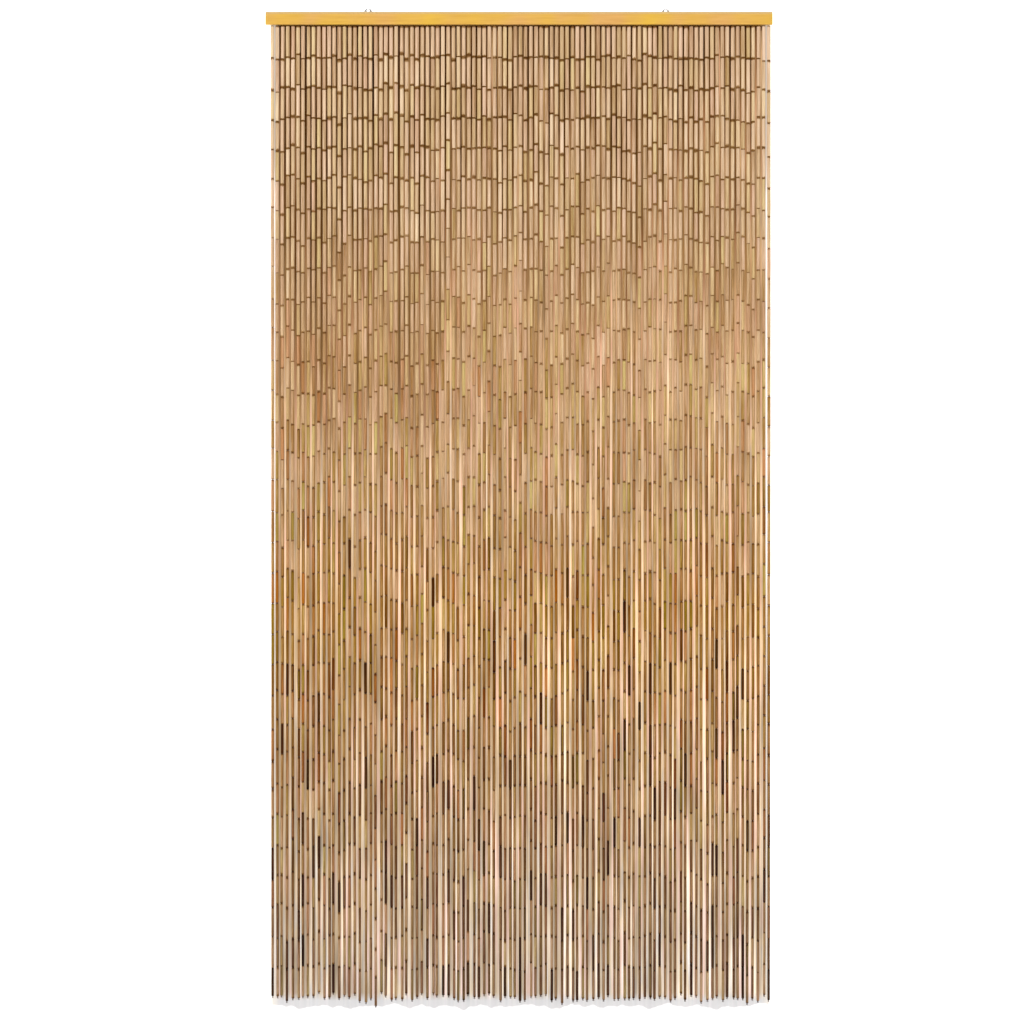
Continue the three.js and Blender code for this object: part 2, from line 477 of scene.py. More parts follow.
def distances_from_top(length, node_share):
    """How far each point of each tube lies from the tube's upper end."""
    columns = []
    for ring, (place, offset, _, _) in enumerate(PROFILE):
        share = node_share if ring == MIDDLE_RING else place
        columns.append(length * share + offset)
    on_rings = np.repeat(np.stack(columns, axis=1), TUBE_SIDES, axis=1)
    in_bores = np.stack([np.full_like(length, BORE_DEPTH), length - BORE_DEPTH], axis=1)
    return np.concatenate([on_rings, in_bores], axis=1)


def strand_arrays(strand):
    """A strand's points, and the two sets of three numbers that each point keeps."""
    top_down, end_down = tube_spans(strand)
    length = end_down - top_down
    traits = draw_traits(TUBES)
    colours = draw_colours(strand, (top_down + end_down) / 2 / strand_length(strand))
    points = tube_points(strand, top_down, end_down, traits)
    from_top = distances_from_top(length, traits["node_share"])
    looks = np.stack([colours["tone"], colours["tint"], colours["grain"]], axis=1)
    looks = np.repeat(looks[:, None, :], from_top.shape[1], axis=1)
    stain = np.broadcast_to(colours["stain"][:, None], from_top.shape)
    ends = np.stack([from_top, length[:, None] - from_top, stain], axis=-1)
    return points, looks, ends


def tube_bundle(number, members):
    """All tubes of a few neighbouring strands as one piece."""
    parts = [strand_arrays(strand) for strand in members]
    points, looks, ends = [np.concatenate(kind) for kind in zip(*parts)]
    count, per_tube = points.shape[:2]
    starts = (np.arange(count) * per_tube)[:, None, None]
    corner, size = tile_of(np.arange(count))
    piece = add_mesh(
        f"tubes_{number:02d}",
        points.reshape(-1, 3),
        (BAND_FACES[None] + starts).reshape(-1, 4),
        (FAN_FACES[None] + starts).reshape(-1, 3),
        BAND_MAP[None] * size + corner[:, None, None, :],
        FAN_MAP[None] * size + corner[:, None, None, :],
    )
    store(piece.data, "tube", looks.reshape(-1, 3))
    store(piece.data, "ends", ends.reshape(-1, 3))
    return piece


bundles = []
for first in range(0, STRANDS, BUNDLE):
    members = range(first, min(first + BUNDLE, STRANDS))
    bundles.append(tube_bundle(len(bundles) + 1, members))
face_count = sum(len(bundle.data.polygons) for bundle in bundles)
print("bundles of tubes:", len(bundles), "with", face_count, "faces")

# %% [markdown]
# ## Wire loops between the tubes
#
# A wire runs through each tube, and both its ends are bent into a loop. The loop of one tube hangs
# in the loop of the next, and the two stand square to each other, as in any chain. Most of each
# loop hides in a bore and only half a millimetre shows between the tubes, but without the loops
# the tubes would float.
#
# A loop is a small torus. Eight steps round it and three round the wire are enough for a wire that
# is two thirds of a millimetre thick. The topmost loop of each strand is hooked over a staple, so
# the staple's height is fixed here.

# %% Build the wire loops
LOOP_RADIUS = 1.05
WIRE_RADIUS = 0.34
LOOP_STEPS = 8
WIRE_SIDES = 3
STAPLE_WIRE = 0.4
STAPLE_LOW = -14.6


def loop_template():
    """Points of a loop in its own frame, its faces and their places on the map."""
    around = 2 * np.pi * np.arange(LOOP_STEPS) / LOOP_STEPS
    section = 2 * np.pi * np.arange(WIRE_SIDES) / WIRE_SIDES
    reach = LOOP_RADIUS + WIRE_RADIUS * np.cos(section)[None, :]
    x, y = reach * np.cos(around)[:, None], reach * np.sin(around)[:, None]
    z = np.broadcast_to(WIRE_RADIUS * np.sin(section)[None, :], x.shape)
    faces, places = wall_faces(LOOP_STEPS, LOOP_STEPS, WIRE_SIDES)
    return np.stack([x, y, z], axis=-1).reshape(-1, 3), faces, places


LOOP_POINTS, LOOP_FACES, LOOP_MAP = loop_template()


def loops_at(centres, turns):
    """Loops that stand upright at some centres, each turned about the strand."""
    wide = np.stack([np.cos(turns), np.sin(turns), np.zeros_like(turns)], axis=-1)
    thick = np.stack([-np.sin(turns), np.cos(turns), np.zeros_like(turns)], axis=-1)
    tall = np.array([0, 0, 1.0])
    return (centres[:, None, :]
            + LOOP_POINTS[None, :, 0:1] * wide[:, None, :]
            + LOOP_POINTS[None, :, 1:2] * tall
            + LOOP_POINTS[None, :, 2:3] * thick[:, None, :])


def wire_loops(name, members):
    """The two loops at each joint of some strands, and the loop that hangs each from its staple."""
    rows = []
    lift = np.array([0, 0, LOOP_RADIUS - WIRE_RADIUS])
    for strand in members:
        middles = strand_point(strand, joints[strand, 1:-1])
        turns = draw.uniform(0, np.pi, len(middles))
        rows.append(loops_at(middles + lift, turns))
        rows.append(loops_at(middles - lift, turns + np.pi / 2))
        hung = strand_point(strand, np.array([0.0]))
        hung[:, 2] = STAPLE_LOW + STAPLE_WIRE + WIRE_RADIUS - LOOP_RADIUS
        rows.append(loops_at(hung, np.array([np.pi / 2])))
    points = np.concatenate(rows)
    starts = (np.arange(len(points)) * LOOP_POINTS.shape[0])[:, None, None]
    no_triangles = np.zeros((0, 3), int)
    return add_mesh(
        name,
        points.reshape(-1, 3),
        (LOOP_FACES[None] + starts).reshape(-1, 4),
        no_triangles,
        np.broadcast_to(LOOP_MAP[None], (len(points), *LOOP_MAP.shape)),
        np.zeros((0, 3, 2)),
    )


half_way = STRANDS // 2
left_loops = wire_loops("wire_loops_left", range(half_way))
right_loops = wire_loops("wire_loops_right", range(half_way, STRANDS))
loop_count = (len(left_loops.data.polygons) + len(right_loops.data.polygons)) // len(LOOP_FACES)
print("wire loops:", loop_count)

# %% [markdown]
# ## Staples above, curls below
#
# Each strand hangs from a staple in the rail's underside, and the last wire ends in a small curl
# under the lowest tube, wound so that the tube can't slip off. Both are bent wire, so both are a
# round section swept along a path. A curve with a bevel could do that too. Points in an array
# make all 97 in one piece.

# %% Build the staples and the curls
RAIL_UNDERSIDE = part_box("rail")[0].z / MM
STAPLE_HALF = 2.0
STAPLE_CORNER = 0.7
LEG_IN_WOOD = 0.25
CURL_WIRE = 0.42
CURL_RADIUS = 1.45
CURL_TURNS = 2.3
CURL_POINTS = 22
SWEEP_SIDES = 6
# Where the triangles of a wire's ends lie on the map
CAP_MAP = [[0.5, 0.5], [0.45, 0.4], [0.55, 0.4]]


def staple_path():
    """Down one leg, across and up the other, with the legs' tips in the wood."""
    tip = RAIL_UNDERSIDE + LEG_IN_WOOD
    # Each bend is two short straight pieces
    bend = STAPLE_CORNER * 0.3
    left_half = [
        (-STAPLE_HALF, 0, tip),
        (-STAPLE_HALF, 0, STAPLE_LOW + STAPLE_CORNER),
        (-STAPLE_HALF + bend, 0, STAPLE_LOW + bend),
        (-STAPLE_HALF + STAPLE_CORNER, 0, STAPLE_LOW),
    ]
    right_half = [(-x, y, z) for x, y, z in reversed(left_half)]
    return np.array(left_half + right_half)


def curl_path():
    """Out of the bore, then round and down in a narrow coil that ends at the strand's end."""
    turn = np.linspace(0, 2 * np.pi * CURL_TURNS, CURL_POINTS)
    fall = np.linspace(CURL_DROP - 0.7, CURL_WIRE + 0.1, CURL_POINTS)
    coil = np.stack([CURL_RADIUS * np.cos(turn), CURL_RADIUS * np.sin(turn), fall], axis=-1)
    stem = np.array([(0.2, 0.1, CURL_DROP + 1.5), (0.5, 0.1, CURL_DROP + 0.3)])
    return np.concatenate([stem, coil])


def swept(path, radius):
    """A round wire along a path: its points, its side faces, its end faces and their map places."""
    ahead = unit(np.gradient(path, axis=0))
    # The helper is never parallel to the path, so that a cross product with it works
    helper = np.where(np.abs(ahead[:, 1:2]) < 0.8, [[0, 1.0, 0]], [[1.0, 0, 0]])
    first = unit(np.cross(ahead, helper))
    rounds = all_round(first, np.cross(ahead, first), SWEEP_SIDES)
    points = (path[:, None, :] + radius * rounds).reshape(-1, 3)
    points = np.concatenate([points, path[:1], path[-1:]])
    quads, places = wall_faces(len(path) - 1, len(path), SWEEP_SIDES)
    ring = np.arange(SWEEP_SIDES)
    after = (ring + 1) % SWEEP_SIDES
    last = (len(path) - 1) * SWEEP_SIDES
    centre = len(path) * SWEEP_SIDES
    start_cap = fan_faces(centre, after, ring)
    end_cap = fan_faces(centre + 1, last + ring, last + after)
    triangles = np.concatenate([start_cap, end_cap])
    return points, quads, triangles, places, np.tile(CAP_MAP, (len(triangles), 1, 1))


def copies(name, shape, places_mm):
    """One piece from a swept shape set down at many places."""
    points, quads, triangles, quad_map, triangle_map = shape
    count = len(places_mm)
    starts = (np.arange(count) * len(points))[:, None, None]
    return add_mesh(
        name,
        (points[None] + places_mm[:, None, :]).reshape(-1, 3),
        (quads[None] + starts).reshape(-1, 4),
        (triangles[None] + starts).reshape(-1, 3),
        np.broadcast_to(quad_map[None], (count, *quad_map.shape)),
        np.broadcast_to(triangle_map[None], (count, *triangle_map.shape)),
    )


staple_places = np.array([strand_point(strand, 0.0) for strand in range(STRANDS)])
staple_places[:, 2] = 0
curl_places = np.array([strand_point(strand, lengths[strand]) for strand in range(STRANDS)])
staples = copies("staples", swept(staple_path(), STAPLE_WIRE), staple_places)
curls = copies("end_curls", swept(curl_path(), CURL_WIRE), curl_places)
wire_pieces = [left_loops, right_loops, staples, curls]
print("faces of the wire pieces:", {piece.name: len(piece.data.polygons) for piece in wire_pieces})

# %% [markdown]
# ## A small vocabulary for shaders
#
# A material is a net of small nodes, each of which does one thing to a number or a colour. Wiring
# them by hand takes three lines each, and the recipe drowns in them. These helpers add one node
# and give back its output, so that the recipes further down read almost like sentences.

# %% Nodes, links and plain sums
def new_material(name):
    """An empty material with its shader, and a way to add nodes."""
    material = bpy.data.materials.new(name)
    material.use_nodes = True
    tree = material.node_tree
    return material, tree, tree.nodes["Principled BSDF"]


def add_node(tree, kind, **settings):
    node = tree.nodes.new(kind)
    for key, value in settings.items():
        setattr(node, key, value)
    return node


def plug(tree, source, target):
    tree.links.new(source, target)


def feed(tree, target, value):
    """Links an output into a socket, or sets the socket to a plain number or colour."""
    if isinstance(value, bpy.types.NodeSocket):
        plug(tree, value, target)
    else:
        target.default_value = value


def math_node(tree, operation, first, second=0.0, clamp=False):
    node = add_node(tree, "ShaderNodeMath", operation=operation, use_clamp=clamp)
    feed(tree, node.inputs[0], first)
    feed(tree, node.inputs[1], second)
    return node.outputs[0]


def plus(tree, first, second):
    return math_node(tree, "ADD", first, second)


def times(tree, first, second):
    return math_node(tree, "MULTIPLY", first, second)


def stretch(tree, share, low, high, to_low, to_high):
    """Carries the span from low to high over to another span, and holds it at both ends."""
    node = add_node(tree, "ShaderNodeMapRange", clamp=True)
    plug(tree, share, node.inputs["Value"])
    limits = {"From Min": low, "From Max": high, "To Min": to_low, "To Max": to_high}
    for socket, value in limits.items():
        node.inputs[socket].default_value = value
    return node.outputs[0]


print("helpers for numbers: math_node, plus, times, stretch")

# %% [markdown]
# ## Colours, noises and places
#
# Most of the detail in a procedural material comes from three kinds of node: a ramp that turns a
# number into a colour, a mix of two colours, and a noise. A noise is stretched by squeezing the
# places that it is read at. With a factor of 0.025 along the height, a round spot becomes a streak
# forty times as long as it is wide.

# %% Colours, noises and places
# Nearly all of a noise lies between these two values
NOISE_LOW = 0.3
NOISE_HIGH = 0.7


def ramp(tree, share, stops):
    """A colour ramp from pairs of place and colour."""
    node = add_node(tree, "ShaderNodeValToRGB")
    elements = node.color_ramp.elements
    while len(elements) < len(stops):
        elements.new(1.0)
    for element, (place, colour) in zip(elements, stops):
        element.position = place
        element.color = (*colour, 1)
    plug(tree, share, node.inputs[0])
    return node.outputs[0]


def number_ramp(tree, share, stops):
    """The same from pairs of place and plain number."""
    return ramp(tree, share, [(place, (value, value, value)) for place, value in stops])


def mix_colour(tree, blend_type, share, first, second):
    node = add_node(tree, "ShaderNodeMix", data_type="RGBA", blend_type=blend_type)
    feed(tree, node.inputs[0], share)
    for socket, value in [(node.inputs[6], first), (node.inputs[7], second)]:
        feed(tree, socket, value if isinstance(value, bpy.types.NodeSocket) else (*value, 1))
    return node.outputs[2]


def tinted(tree, colour, cast):
    return mix_colour(tree, "MULTIPLY", 1.0, colour, cast)


def noise(tree, place, scale, detail=3.0, roughness=0.5):
    node = add_node(tree, "ShaderNodeTexNoise")
    plug(tree, place, node.inputs["Vector"])
    node.inputs["Scale"].default_value = scale
    node.inputs["Detail"].default_value = detail
    node.inputs["Roughness"].default_value = roughness
    return node.outputs[0]


def swing_of(tree, noise_value, low, high):
    """Lets a noise swing from one value to another."""
    return stretch(tree, noise_value, NOISE_LOW, NOISE_HIGH, low, high)


def scaled_place(tree, scale):
    """Places on the object in metres, stretched along its axes."""
    node = add_node(tree, "ShaderNodeMapping")
    node.inputs["Scale"].default_value = scale
    plug(tree, add_node(tree, "ShaderNodeTexCoord").outputs["Object"], node.inputs["Vector"])
    return node.outputs[0]


def place_parts(tree):
    """The x, y and z of a place on the object, in metres."""
    parts = add_node(tree, "ShaderNodeSeparateXYZ")
    plug(tree, scaled_place(tree, (1, 1, 1)), parts.inputs[0])
    return parts.outputs


def three_numbers(tree, name):
    """The three numbers that each point of the mesh keeps under a name."""
    attribute = add_node(tree, "ShaderNodeAttribute", attribute_name=name)
    parts = add_node(tree, "ShaderNodeSeparateXYZ")
    plug(tree, attribute.outputs["Vector"], parts.inputs[0])
    return parts.outputs


def bump(tree, shader, height, distance_mm, strength=1.0):
    node = add_node(tree, "ShaderNodeBump")
    node.inputs["Strength"].default_value = strength
    node.inputs["Distance"].default_value = distance_mm * MM
    plug(tree, height, node.inputs["Height"])
    plug(tree, node.outputs[0], shader.inputs["Normal"])


print("helpers for looks: ramp, number_ramp, mix_colour, tinted, noise, swing_of, bump")

# %% [markdown]
# ## Bamboo
#
# The skin of a dried cane is smooth and slightly waxy, with fine fibres along it. Its colour comes
# in layers: the tube's own tone, fine streaks along the fibres, a cast towards red or olive, and
# the stain at the saw cuts. The shader builds these layers in the same order. The streaks come
# from a fine and a broad noise, both stretched along the tube, and each tube shifts them by its
# own number, so that no streak runs on across a joint.
#
# Two things change with the height. Colour is strongest a little below the middle. It is fainter
# near the rail, where the sun reaches, and near the floor, where dust settles. The stain is
# weakest a quarter of the way down. It works like brown glass over the skin: a thin layer takes
# mainly the blue light away and a thick one also the green and the red, so the stain is golden at
# its border and dark brown at the cut.

# %% Bamboo skin
# From the darkest tone to the palest
TONES = [
    (0.0, (0.020, 0.004, 0.001)),
    (0.25, (0.122, 0.043, 0.007)),
    (0.5, (0.36, 0.197, 0.066)),
    (0.75, (0.64, 0.440, 0.265)),
    (1.0, (0.86, 0.67, 0.46)),
]
# From olive to red
TINTS = [
    (0.0, (0.82, 0.96, 0.50)),
    (0.3, (0.99, 1.00, 0.76)),
    (0.5, (1.00, 0.98, 0.94)),
    (0.7, (1.00, 0.93, 0.95)),
    (1.0, (1.00, 0.68, 0.45)),
]
# What a full layer of stain lets through of red, green and blue
STAIN_PASSES = (0.14, 0.07, 0.02)
# Layers of stain, and strength of colour, from the rail at 0 to the floor at 1
STAIN_LAYERS = [(0.0, 0.8), (0.1, 0.75), (0.25, 0.45), (0.5, 0.62), (1.0, 0.7)]
STRENGTHS = [
    (0.0, 0.93), (0.2, 0.93), (0.35, 1.0), (0.5, 1.0), (0.6, 1.08), (0.74, 1.0), (1.0, 0.8),
]
# How far the fibres are drawn out along the tube, and how fine the two noises are
FIBRE_SQUEEZE = 0.025
FINE_FIBRES = 500.0
BROAD_FIBRES = 190.0
# How far each noise moves the tone
FINE_STREAKS = 0.15
BROAD_STREAKS = 0.07
# The stain's border strays between these shares of its reach. The stain is full up to the next
# share of it, and its faintest layer is the last share of a full one
STAIN_BORDER = (0.6, 1.5)
STAIN_FULL = 0.35
STAIN_FAINTEST = 0.6


def fibres(tree, grain):
    """A fine and a broad noise along the tube, shifted by the tube's own number."""
    shift = add_node(tree, "ShaderNodeCombineXYZ")
    plug(tree, times(tree, grain, 7.0), shift.inputs[0])
    plug(tree, times(tree, grain, 13.0), shift.inputs[2])
    own_place = add_node(tree, "ShaderNodeVectorMath", operation="ADD")
    plug(tree, scaled_place(tree, (1, 1, FIBRE_SQUEEZE)), own_place.inputs[0])
    plug(tree, shift.outputs[0], own_place.inputs[1])
    fine = noise(tree, own_place.outputs[0], FINE_FIBRES, 4.0, 0.65)
    broad = noise(tree, own_place.outputs[0], BROAD_FIBRES, 2.0)
    return fine, broad


def cane_colour(tree, tone, tint, fine, broad, down):
    """The tube's tone with its streaks and its cast, as strong as colour is at this height."""
    fine_streaks = swing_of(tree, fine, -FINE_STREAKS, FINE_STREAKS)
    broad_streaks = swing_of(tree, broad, -BROAD_STREAKS, BROAD_STREAKS)
    streaked = math_node(tree, "ADD", tone, plus(tree, fine_streaks, broad_streaks), clamp=True)
    skin = tinted(tree, ramp(tree, streaked, TONES), ramp(tree, tint, TINTS))
    faded = add_node(tree, "ShaderNodeHueSaturation")
    plug(tree, number_ramp(tree, down, STRENGTHS), faded.inputs["Saturation"])
    plug(tree, skin, faded.inputs["Color"])
    return faded.outputs[0]


def stain_share(tree, from_top, from_end, stain, grain, broad):
    """1 where a saw cut has stained the cane, 0 beyond the stain's ragged border."""
    nearest = math_node(tree, "MINIMUM", from_top, from_end)
    reach = times(tree, stain, swing_of(tree, broad, *STAIN_BORDER))
    wet = stretch(tree, math_node(tree, "DIVIDE", nearest, reach), STAIN_FULL, 1.0, 1.0, 0.0)
    return times(tree, wet, stretch(tree, grain, 0.0, 1.0, STAIN_FAINTEST, 1.0))


def stained(tree, skin, layers):
    """The skin's colour as it comes through some layers of stain."""
    passing = add_node(tree, "ShaderNodeCombineColor")
    for channel, share in enumerate(STAIN_PASSES):
        plug(tree, math_node(tree, "POWER", share, layers), passing.inputs[channel])
    return tinted(tree, skin, passing.outputs[0])


def bamboo_skin():
    material, tree, shader = new_material("bamboo_skin")
    tone, tint, grain = three_numbers(tree, "tube")
    from_top, from_end, stain = three_numbers(tree, "ends")
    down = stretch(tree, place_parts(tree)[2], 0.0, STRAND_END * MM, 0.0, 1.0)
    fine, broad = fibres(tree, grain)
    skin = cane_colour(tree, tone, tint, fine, broad, down)
    wet = stain_share(tree, from_top, from_end, stain, grain, broad)
    layers = times(tree, wet, number_ramp(tree, down, STAIN_LAYERS))
    plug(tree, stained(tree, skin, layers), shader.inputs["Base Color"])
    plug(tree, swing_of(tree, fine, 0.62, 0.42), shader.inputs["Roughness"])
    shader.inputs["Specular IOR Level"].default_value = 0.04
    bump(tree, shader, fine, 0.12)
    return material


bamboo = bamboo_skin()
for bundle in bundles:
    bundle.data.materials.append(bamboo)
    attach(bundle, "root")
    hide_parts("strands")
print("bamboo covers", len(bundles), "pieces")

# %% [markdown]
# ## Wire
#
# The wire is thin zinc-plated steel that has gone dull in use. A brown film lies over nearly all
# of it, and only a part of its shine is left. So the shader is less than half metal, and its
# roughness changes from patch to patch.

# %% Dull wire
FILM = [(0.35, (0.030, 0.010, 0.002)), (0.65, (0.085, 0.032, 0.010))]


def dull_wire():
    material, tree, shader = new_material("dull_wire")
    patches = noise(tree, scaled_place(tree, (1, 1, 1)), 900.0, 3.0)
    plug(tree, ramp(tree, patches, FILM), shader.inputs["Base Color"])
    plug(tree, swing_of(tree, patches, 0.7, 0.4), shader.inputs["Roughness"])
    shader.inputs["Metallic"].default_value = 0.3
    shader.inputs["Specular IOR Level"].default_value = 0.1
    bump(tree, shader, patches, 0.04)
    return material


wire = dull_wire()
for piece in wire_pieces:
    piece.data.materials.append(wire)
    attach(piece, "root")
print("wire covers", len(wire_pieces), "pieces")

# %% [markdown]
# ## The varnished rail
#
# The rail is a plain batten under a honey-coloured varnish. The wood's figure runs along it in
# long bands, its yellow is deeper in some places than in others, and its colour is paler along the
# upper edge. The imported rail keeps its shape and only gets this finish.

# %% Varnished wood
HONEY = [(0.35, (0.72, 0.43, 0.035)), (0.5, (0.70, 0.40, 0.06)), (0.65, (0.70, 0.38, 0.10))]
FIGURE = [(0.3, (0.86, 0.78, 0.62)), (0.6, (1.0, 1.0, 1.0))]
PALE_TOP_EDGE = (0.56, 0.41, 0.20)
# The paler edge starts and is full at these heights in metres, and takes this share of the colour
RAIL_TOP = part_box("rail")[1].z
PALE_TOP_HEIGHTS = (RAIL_TOP - 6 * MM, RAIL_TOP - 2 * MM)
PALE_TOP_SHARE = 0.85


def varnished_wood():
    material, tree, shader = new_material("honey_varnish")
    clouds = noise(tree, scaled_place(tree, (1, 1, 1)), 9.0, 2.0)
    figure = noise(tree, scaled_place(tree, (0.05, 1, 1)), 260.0, 4.0, 0.6)
    pores = noise(tree, scaled_place(tree, (0.03, 1, 1)), 1500.0, 2.0)
    wood = mix_colour(tree, "MULTIPLY", 0.7, ramp(tree, clouds, HONEY), ramp(tree, figure, FIGURE))
    paler_top = stretch(tree, place_parts(tree)[2], *PALE_TOP_HEIGHTS, 0.0, PALE_TOP_SHARE)
    plug(tree, mix_colour(tree, "MIX", paler_top, wood, PALE_TOP_EDGE), shader.inputs["Base Color"])
    plug(tree, swing_of(tree, pores, 0.5, 0.34), shader.inputs["Roughness"])
    shader.inputs["Coat Weight"].default_value = 0.25
    shader.inputs["Coat Roughness"].default_value = 0.25
    bump(tree, shader, pores, 0.06)
    return material


def dress(node_name, material):
    """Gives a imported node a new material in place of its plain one."""
    mesh_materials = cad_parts[node_name].data.materials
    mesh_materials.clear()
    mesh_materials.append(material)


varnish = varnished_wood()
dress("rail", varnish)
print("rail dressed in", varnish.name)

# %% [markdown]
# ## Plates and screws
#
# The plates are stamped from zinc-plated sheet. Plating has a faint crystal pattern, which a
# Voronoi texture gives, and fine upright scratches from the press. The screws have the same
# plating.

# %% Zinc plate
PLATING = [(0.2, (0.34, 0.345, 0.35)), (0.7, (0.52, 0.525, 0.53))]


def zinc_plate():
    material, tree, shader = new_material("zinc_plate")
    crystals = add_node(tree, "ShaderNodeTexVoronoi")
    plug(tree, scaled_place(tree, (1, 1, 1)), crystals.inputs["Vector"])
    crystals.inputs["Scale"].default_value = 420.0
    scratches = noise(tree, scaled_place(tree, (1, 1, 0.06)), 1400.0, 3.0)
    tone = plus(tree, times(tree, crystals.outputs["Distance"], 0.5), times(tree, scratches, 0.5))
    plug(tree, ramp(tree, tone, PLATING), shader.inputs["Base Color"])
    plug(tree, stretch(tree, tone, 0.2, 0.7, 0.5, 0.3), shader.inputs["Roughness"])
    shader.inputs["Metallic"].default_value = 0.9
    bump(tree, shader, scratches, 0.02)
    return material


zinc = zinc_plate()
for name in ["plate_left", "plate_right", "screw_left", "screw_right"]:
    dress(name, zinc)
print("finishes:", ", ".join(sorted(m.name for m in bpy.data.materials if m.users)))

# %% [markdown]
# ## White paper with a shade on it
#
# A curtain is photographed in front of white paper, and what shows between the strands is that
# paper in the curtain's own shade. Near the rail the tubes almost touch, hardly any light gets
# behind them, and the gaps are deep brown. Further down the gaps are wide and the paper is bright.
#
# Here the paper hangs two millimetres behind the rail and the shade is painted on it, as a
# patch of the curtain's size. Its colour runs down a ramp, from the deepest brown under the rail to
# the pale paper near the floor. Upright stripes of noise keep neighbouring gaps from being equal.
# Most of the patch's light is its own glow, so it looks nearly the same wherever the lamps stand.

# %% Colours of the shade
WHITE = (0.9, 0.9, 0.9)
SHADE = [
    (0.0, (0.020, 0.005, 0.001)),
    (0.2, (0.070, 0.027, 0.005)),
    (0.3, (0.110, 0.050, 0.013)),
    (0.41, (0.30, 0.165, 0.070)),
    (0.49, (0.475, 0.295, 0.165)),
    (0.57, (0.60, 0.415, 0.27)),
    (0.68, (0.655, 0.452, 0.285)),
    (0.84, (0.65, 0.487, 0.352)),
    (1.0, (0.60, 0.49, 0.405)),
]
# Casts for stripes between dark and bright, and for broader bands between pink and cool
STRIPE_CASTS = [(0.35, (1.0, 0.97, 0.90)), (0.5, (1.0, 1.0, 1.0)), (0.65, (1.0, 1.06, 1.15))]
BAND_CASTS = [
    (0.36, (1.06, 0.95, 0.97)),
    (0.44, (1.0, 1.0, 1.0)),
    (0.56, (1.03, 1.02, 0.88)),
    (0.66, (0.90, 0.97, 1.02)),
]
# How far the stripes move along the shade's ramp, from the rail down to the middle
STRIPE_MOVES = [(0.05, 0.21), (0.14, 0.12), (0.2, 0.08), (0.3, 0.07), (0.5, 0.0)]
# Painted grey shadow under the strands' ends, and painted side light beside the outermost strands
HEM_SHADOW = (0.57, 0.57, 0.585)
SIDE_GLOW = (0.72, 0.67, 0.60)
# The patch takes this share of the lamps' light, next to its own glow
LIT_SHARE = 0.35
# How fine the noises of stripes and bands are, and how far both are drawn out downwards
STRIPE_FINENESS = 150.0
STRIPE_SQUEEZE = 0.022
BAND_FINENESS = 160.0
BAND_SQUEEZE = 0.05
# From the middle to the right: more of the ramp in the upper half, and more light
RIGHTWARD_LEVEL = 0.06
RIGHTWARD_GAIN = 0.08
# How far the shade under the rail moves back on the ramp
RAIL_SHADE_LEVEL = -0.2
# Drifts as large as a hand take or give this share of the light
DRIFT_GAIN = 0.2
# Soft borders in metres, each between two places: the patch's upper edge, its hem and its side
PATCH_TOP = (-0.004, -0.010)
PATCH_HEM = (-1.960, -1.950)
PATCH_SIDE = (0.490, 0.4955)
# How far the patch draws in on each side, where it is narrower
PATCH_NARROWING = 0.0065
# Soft borders of the deepest shade under the rail, the painted shadow below and the painted light
# aside
RAIL_SHADE = (-0.024, -0.016)
HEM_SHADOW_BORDER = (-1.924, -1.940)
PALE_ASIDE = (0.476, 0.488)
# The row of strands, from its left side to its right
ROW_SIDES = (-0.49, 0.49)
print("steps of the shade:", len(SHADE))

# %% [markdown]
# ## Painting the shade
#
# The patch needs two things: where it is, and what colour it has. It starts just under the rail's
# middle and ends in a soft, uneven hem below the strands. It reaches as far as the outermost
# strands. Only from a sixth of the way down to the middle, where light comes in past them, it
# stays a little narrower.
#
# The paper glows white around the patch. It is seen from the front and lets the view through from
# behind, so that the curtain's back can be looked at as well.

# %% Paint the shade on the paper


def pale_finish(name, colour):
    material, tree, shader = new_material(name)
    shader.inputs["Base Color"].default_value = (*colour, 1)
    shader.inputs["Roughness"].default_value = 0.9
    shader.inputs["Specular IOR Level"].default_value = 0.1
    return material, tree, shader


def from_row_middle(tree, x):
    return math_node(tree, "ABSOLUTE", math_node(tree, "SUBTRACT", x, ROW_SHIFT * MM))


def patch_share(tree, x, z, down):
    """1 on the patch and 0 on the bare paper round it."""
    starts = stretch(tree, down, 0.10, 0.18, 0.0, PATCH_NARROWING)
    ends = stretch(tree, down, 0.55, 0.70, 0.0, -PATCH_NARROWING)
    aside = plus(tree, from_row_middle(tree, x), plus(tree, starts, ends))
    within = stretch(tree, aside, *PATCH_SIDE, 1.0, 0.0)
    below_rail = stretch(tree, z, *PATCH_TOP, 0.0, 1.0)
    waves = noise(tree, scaled_place(tree, (1, 1, 0)), 22.0, 2.0)
    uneven = swing_of(tree, waves, -0.008, 0.008)
    above_hem = stretch(tree, plus(tree, z, uneven), *PATCH_HEM, 0.0, 1.0)
    return times(tree, within, times(tree, below_rail, above_hem))


def shade_level(tree, x, z, down, swing):
    """How bright the gaps are: more with every step down, and a little more to the right."""
    level = stretch(tree, down, 0.0, 1.0, 0.2, 1.0)
    stripes = times(tree, swing, number_ramp(tree, down, STRIPE_MOVES))
    rightward = stretch(tree, x, *ROW_SIDES, -RIGHTWARD_LEVEL, RIGHTWARD_LEVEL)
    rightward = times(tree, rightward, stretch(tree, down, 0.35, 0.5, 1.0, 0.0))
    under_rail = stretch(tree, z, *RAIL_SHADE, 0.0, RAIL_SHADE_LEVEL)
    return plus(tree, plus(tree, level, stripes), plus(tree, rightward, under_rail))


